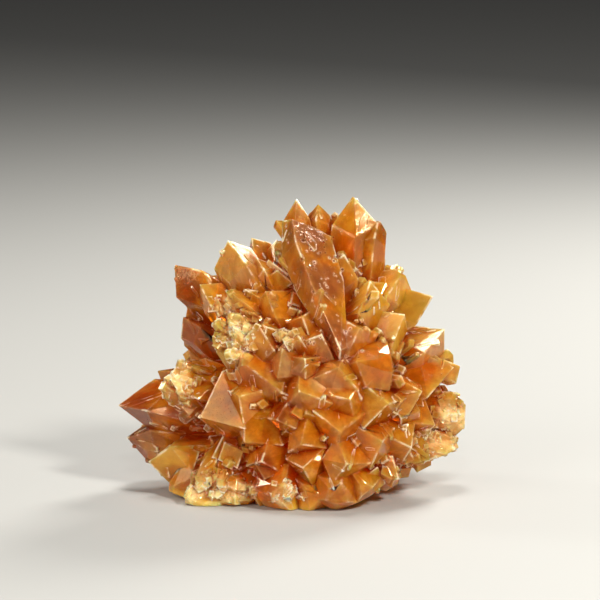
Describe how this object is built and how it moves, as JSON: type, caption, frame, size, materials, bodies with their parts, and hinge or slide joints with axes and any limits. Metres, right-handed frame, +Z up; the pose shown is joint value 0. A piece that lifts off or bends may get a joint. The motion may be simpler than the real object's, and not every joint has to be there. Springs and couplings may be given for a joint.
{
  "type": "calcite crystal cluster",
  "caption": "Half-dome cluster of honey-orange calcite: stout blunt-pointed crystals fanning up and outward from a flat broken foot, with a long blade lying down the front.",
  "frame": {"origin": "centre of the bounding box in X and Y, on the plane of the foot it stands on", "axes": "+Z up, +X to the right along the cluster's width as the picture shows it, +Y away from the viewer"},
  "size_m": [0.0902, 0.0616, 0.0769],
  "materials": {
    "calcite": "vitreous, milky translucent, honey orange"
  },
  "bodies": {
    "root": {"calcite_cluster": "calcite"}
  },
  "joints": []
}
